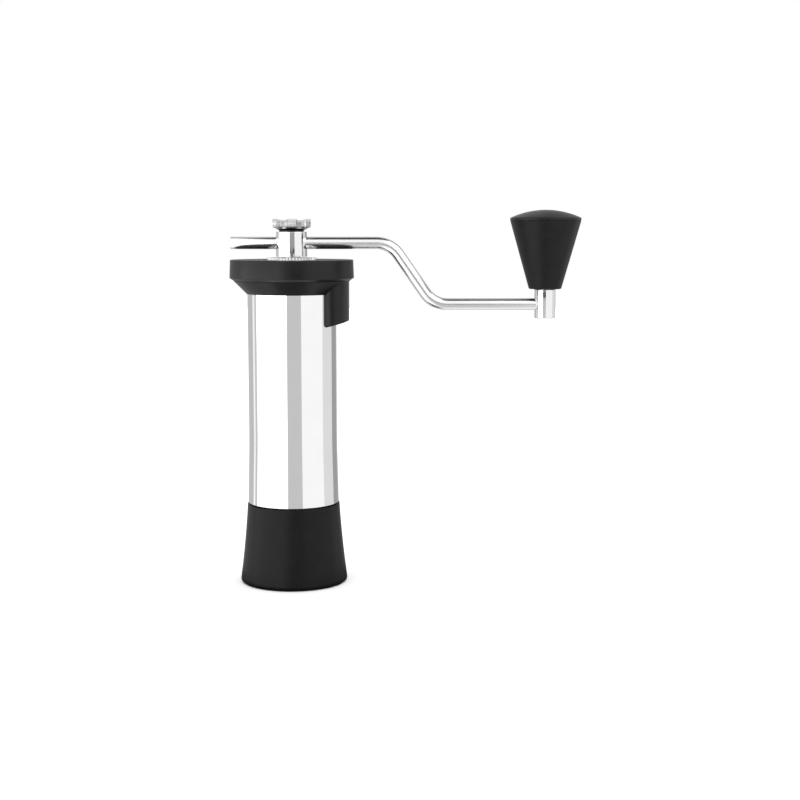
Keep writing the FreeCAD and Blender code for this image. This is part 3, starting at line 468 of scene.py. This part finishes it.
def notched(turn):
    """Share of the dial's full radius at an angle: round notches all along the edge."""
    depth = 0.035
    return 1 - depth * (0.5 + 0.5 * math.cos(turn * DIAL_NOTCHES)) ** 2


def make_thumb_screw():
    foot, top = low("thumb_screw").z, high("thumb_screw").z
    seat = high("thumb_washer").z + 0.05 * MM
    shank, base, depth = 2.45 * MM, 9.0 * MM, 2.4 * MM
    pip, pip_low = 2.5 * MM, top - depth - 0.6 * MM

    def dish(across):
        return top - depth * (1 - min(across / THUMB_R, 1) ** 2)

    levels = [
        (0, 0, foot),
        (0, shank, foot),
        (0, shank, seat),
        (0, base, seat),
        (1, THUMB_R - 0.35 * MM, seat + 0.7 * MM),
        (1, THUMB_R, seat + 1.15 * MM),
        (1, THUMB_R, lambda across: dish(across) - 0.4 * MM),
        (1, THUMB_R - 0.12 * MM, lambda across: dish(across) - 0.12 * MM),
        (1, THUMB_R - 0.4 * MM, dish),
        (1, THUMB_R - 1.2 * MM, dish),
        (0.3, THUMB_R * 0.5, dish),
        (0, pip, dish),
        (0, pip - 0.3 * MM, pip_low),
        (0, 0, pip_low),
    ]
    rows = shaped(levels, scalloped, THUMB_STEPS)
    faces = wrap(rows, closed_rows=False)
    mesh_piece("thumb_screw_skin", rows, faces, "thumb_screw", "thumb_steel", ["thumb_screw"], sharp=40)


def make_dial():
    bottom, top = low("adjustment_dial").z, high("adjustment_dial").z
    full, bore = radius("adjustment_dial"), 5.02 * MM
    neck, neck_top = full - 1.2 * MM, bottom + 3 * MM
    groove_outer, groove_inner, groove, slope = full - 1.4 * MM, 9.6 * MM, 0.2 * MM, 0.3 * MM
    chamfer = 0.35 * MM
    levels = [
        (0, bore, bottom),
        (0, neck, bottom),
        (0, neck, neck_top),
        (1, full, neck_top + 0.6 * MM),
        (1, full, top - chamfer),
        (1, full - chamfer, top),
        (0, groove_outer, top),
        (0, groove_outer - slope, top - groove),
        (0, groove_inner + slope, top - groove),
        (0, groove_inner, top),
        (0, bore, top),
    ]
    rows = shaped(levels, notched, DIAL_STEPS)
    mesh_piece("dial_skin", rows, wrap(rows), "dial", "dial_steel", ["adjustment_dial"])


def make_hub():
    bottom, top = low("crank_hub").z, high("crank_hub").z
    foot_r, top_r, bore = radius("crank_hub"), radius("crank_hub") - 0.2 * MM, 2.75 * MM
    outline = softened([
        (bore, bottom, 0),
        (foot_r, bottom, 0.25 * MM),
        (top_r, top, 0.35 * MM),
        (bore, top, 0),
    ])
    hub = turned("hub_skin", outline, "crank", "crank_steel", ["crank_hub"])
    flats, web = 8.1 * MM, 3.4 * MM
    corner = flats / math.sqrt(3)
    hexagon = [(corner * math.cos(turn), corner * math.sin(turn)) for turn in angles(6)]
    combine(hub, prism(hexagon, bottom - MM, top - web), "DIFFERENCE")
    left, width, depth, tall = 0.4 * MM, 0.8 * MM, 0.7 * MM, 3.0 * MM
    slot = turned_box(left, left + width, -foot_r - MM, -foot_r + depth)
    combine(hub, prism(slot, bottom - MM, bottom + tall), "DIFFERENCE")


def make_post():
    bottom, top = low("crank_post").z, high("crank_post").z
    full, bore = radius("crank_post"), 3.02 * MM
    bore_low = top - 5.2 * MM
    outline = softened([
        (0, bottom, 0),
        (full, bottom, 0.8 * MM),
        (full, top, 0.2 * MM),
        (bore, top, 0),
        (bore, bore_low, 0),
        (0, bore_low, 0),
    ])
    turned("post_skin", outline, "crank", "crank_steel", ["crank_post"], KNOB_X)


def rod_path():
    """The centre line of the bent rod as points with their directions, on the XZ plane."""
    bend, bend_steps = 15.5 * MM, 16
    far_z = low("crank_arm").z + ROD_R
    near_bend_x, far_bend_x = 56.8 * MM, 81.5 * MM
    corners = [
        Vector((low("crank_arm").x, ROD_Z)),
        Vector((near_bend_x, ROD_Z)),
        Vector((far_bend_x, far_z)),
        Vector((high("crank_arm").x, far_z)),
    ]
    points = [(corners[0], Vector((1, 0)))]
    for before, corner, after in zip(corners, corners[1:], corners[2:]):
        into = (corner - before).normalized()
        out = (after - corner).normalized()
        angle = into.angle_signed(out)
        setback = bend * math.tan(abs(angle) / 2)
        side = Vector((into.y, -into.x)) * (1 if angle > 0 else -1)
        start = corner - into * setback
        centre = start + side * bend
        for step in range(bend_steps + 1):
            spin = Matrix.Rotation(angle * step / bend_steps, 2)
            points.append((centre + (start - centre) @ spin, into @ spin))
    points.append((corners[-1], Vector((1, 0))))
    return points


def rod_ring(place, along, across):
    """Points round a rod's centre line, where place and along are on the XZ plane."""
    normal = Vector((-along.y, along.x))
    row = []
    for turn in angles(ROD_SIDES):
        off = normal * across * math.sin(turn)
        row.append((place.x + off.x, across * math.cos(turn), place.y + off.y))
    return row


def make_rods():
    rows = [rod_ring(place, along, ROD_R) for place, along in rod_path()]
    mesh_piece("arm_skin", rows, capped(rows), "crank", "rod_steel", ["crank_arm"], sharp=50)

    outer, inner = low("counter_stub").x, high("counter_stub").x
    edge = 0.4 * MM
    levels = [
        (outer, ROD_R - edge),
        (outer + edge * 0.3, ROD_R - edge * 0.3),
        (outer + edge, ROD_R),
        (inner, ROD_R),
    ]
    rows = [rod_ring(Vector((place, ROD_Z)), Vector((1, 0)), across) for place, across in levels]
    mesh_piece("stub_skin", rows, capped(rows), "crank", "rod_steel", ["counter_stub"])


def make_spring():
    """The spring's coiled wire, left free of any body, with its transform baked into its points."""
    wire = 0.6 * MM
    first, last = low("preload_spring").z + wire, high("preload_spring").z - wire
    circle = high("preload_spring").x - wire
    coils, steps, sides = 3.5, 168, 16
    climb = (last - first) / (2 * math.pi * coils)
    rows = []
    for step in range(steps + 1):
        turn = 2 * math.pi * coils * step / steps
        outward = Vector((math.cos(turn), math.sin(turn), 0))
        along = Vector((-circle * math.sin(turn), circle * math.cos(turn), climb)).normalized()
        place = outward * circle + Vector((0, 0, first + climb * turn))
        aside = along.cross(outward)
        rows.append([place + (outward * math.cos(spin) + aside * math.sin(spin)) * wire
                     for spin in angles(sides)])
    spring = mesh_piece("spring_wire", rows, capped(rows), None, "spring_steel", ["preload_spring"], sharp=60)
    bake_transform(spring)


def make_knob():
    """The conical grip, and the domed cap whose plug sits in the grip's recess."""
    bottom, top = low("knob_grip").z, high("knob_cap").z
    cap_low = top - 6.1 * MM
    rim = cap_low - 0.02 * MM
    foot_r, rim_r = 9.3 * MM, radius("knob_grip") + 0.05 * MM
    bore, well_r, recess_r = 5.52 * MM, 8.0 * MM, radius("knob_grip") - 3.35 * MM
    recess_low, well_low = cap_low - 4 * MM, cap_low - 9.7 * MM
    outline = softened([
        (bore, bottom, 0),
        (foot_r, bottom, 0.9 * MM),
        (rim_r, rim, 0.3 * MM),
        (recess_r, rim, 0),
        (recess_r, recess_low, 0),
        (well_r, recess_low, 0),
        (well_r, well_low, 0),
        (bore, well_low, 0),
    ])
    turned("grip_skin", outline, "knob", "knob_plastic", ["knob_grip"], KNOB_X)

    cap_r, side = radius("knob_cap"), cap_low + 1.6 * MM
    plug_r, plug_low = recess_r - 0.05 * MM, cap_low - 3.5 * MM
    dome_share = 0.245
    edge = softened([
        (cap_r, cap_low, 0.15 * MM),
        (cap_r, side, 0.6 * MM),
        (0, top + 0.6 * MM, 0),
        (0, cap_low, 0),
    ])[:-2]
    outline = [Vector((0, plug_low)), Vector((plug_r, plug_low)), Vector((plug_r, cap_low))] + edge
    outline += arc_points(outline[-1], (0, top), -(top - side) * dome_share, 48)
    outline += [Vector((0, top))]
    turned("cap_skin", outline, "knob", "knob_top_plastic", ["knob_cap"], KNOB_X)


make_tube()
make_cup()
make_lid()
make_dial()
make_thumb_screw()
make_hub()
make_post()
make_rods()
make_spring()
make_knob()


# ---------------------------------------------------------------- studio

CARD_DISTANCE = 0.42


def card_material(name, strength):
    material = bpy.data.materials.new(name)
    material.use_nodes = True
    tree = material.node_tree
    tree.nodes.remove(tree.nodes["Principled BSDF"])
    glow = tree.nodes.new("ShaderNodeEmission")
    glow.inputs["Color"].default_value = (1, 1, 1, 1)
    glow.inputs["Strength"].default_value = strength
    tree.links.new(glow.outputs["Emission"], tree.nodes["Material Output"].inputs["Surface"])
    return material


def stage_mesh(name, points, faces, material):
    mesh = bpy.data.meshes.new(name)
    mesh.from_pydata(points, [], faces)
    item = new_object(name, mesh)
    mesh.materials.append(material)
    return item


def gloss_card(name, points, faces, strength):
    """A glowing sheet, seen only in the gloss of the pieces."""
    item = stage_mesh(name, points, faces, card_material(name, strength))
    item.visible_camera = False
    item.visible_diffuse = False
    item.visible_shadow = False


def curved_card(name, first, last, bottom, top, strength):
    """A card that stands round the grinder, between two directions in degrees.

    They are counted from the side the camera is on, towards +X.
    """
    points = []
    steps = 24
    for step in range(steps + 1):
        turn = math.radians(first + (last - first) * step / steps)
        for height in (bottom, top):
            points.append((CARD_DISTANCE * math.sin(turn), -CARD_DISTANCE * math.cos(turn), height))
    faces = [(2 * step, 2 * step + 1, 2 * step + 3, 2 * step + 2) for step in range(steps)]
    gloss_card(name, points, faces, strength)


def level_card(name, middle, reach, height, strength):
    """A level round card, with its middle on the XZ plane."""
    steps = 48
    rim = [(middle + reach * math.cos(turn), reach * math.sin(turn), height) for turn in angles(steps)]
    gloss_card(name, rim, [tuple(range(steps))], strength)


def make_floor():
    """Pale paper, a hair under the base, so that the two faces don't fight for the same place."""
    paper = Nodes("floor_paper")
    paper.tint(paper.noise(paper.place(), 30, 3), grey(0.86), grey(0.88))
    paper.set(Roughness=0.8, Specular_IOR_Level=0.0)
    half, under = 3.0, -0.05 * MM
    corners = [(-half, -half, under), (half, -half, under), (half, half, under), (-half, half, under)]
    floor = stage_mesh("floor", corners, [(0, 1, 2, 3)], paper.material)
    floor.visible_glossy = False


def make_studio():
    world = bpy.data.worlds.new("studio")
    bpy.context.scene.world = world
    world.use_nodes = True
    world.node_tree.nodes["Background"].inputs["Color"].default_value = (1, 1, 1, 1)
    world.node_tree.nodes["Background"].inputs["Strength"].default_value = 1.0

    make_floor()

    sky = bpy.data.lights.new("overhead", "SUN")
    sky.energy = 1.9
    sky.angle = math.radians(120)
    new_object("overhead", sky).visible_glossy = False

    # Each card's name, first and last direction, lowest and highest point, and strength.
    deep, collar_level, lid_level, hub_level, rod_level, tall = -0.5, 0.12, 0.164, 0.186, 0.27, 1.1
    for settings in (
        ("left_panel_low", -98, -10, deep, collar_level, 1.6),
        ("left_panel", -98, -10, collar_level, hub_level, 2.9),
        ("left_panel_top", -98, -10, hub_level, tall, 1.5),
        ("front_gap_low", -10, 26, deep, lid_level, 0.6),
        ("front_gap_lid", -10, 26, lid_level, hub_level, 0.01),
        ("front_gap_hub", -10, 26, hub_level, rod_level, 0.36),
        ("front_top", -10, 26, rod_level, tall, 1.1),
        ("right_panel", 26, 86, deep, rod_level, 1.03),
        ("right_top", 26, 100, rod_level, tall, 1.6),
        ("right_fall", 86, 124, deep, tall, 0.78),
        ("rear_right", 124, 156, deep, tall, 0.36),
        ("rear", 156, 243, deep, tall, 0.55),
        ("left_line", -108, -100, deep, tall, 0.6),
    ):
        curved_card(*settings)
    level_card("overhead_card", 0.03, 0.19, 0.6, 0.02)
    level_card("under_card", 0, 0.07, -0.002, 0.1)


def make_camera():
    """In front of the grinder, level with its crank and looking down a little."""
    data = bpy.data.cameras.new("camera")
    data.sensor_width = 36
    data.lens = 64.89
    camera = new_object("camera", data)
    tilt_down = 0.117
    camera.location = (0.06234, -0.83415, 0.20458)
    camera.rotation_euler = (math.pi / 2 - tilt_down, 0, 0)
    bpy.context.scene.camera = camera


make_studio()
make_camera()
bpy.context.scene.view_settings.view_transform = "Standard"
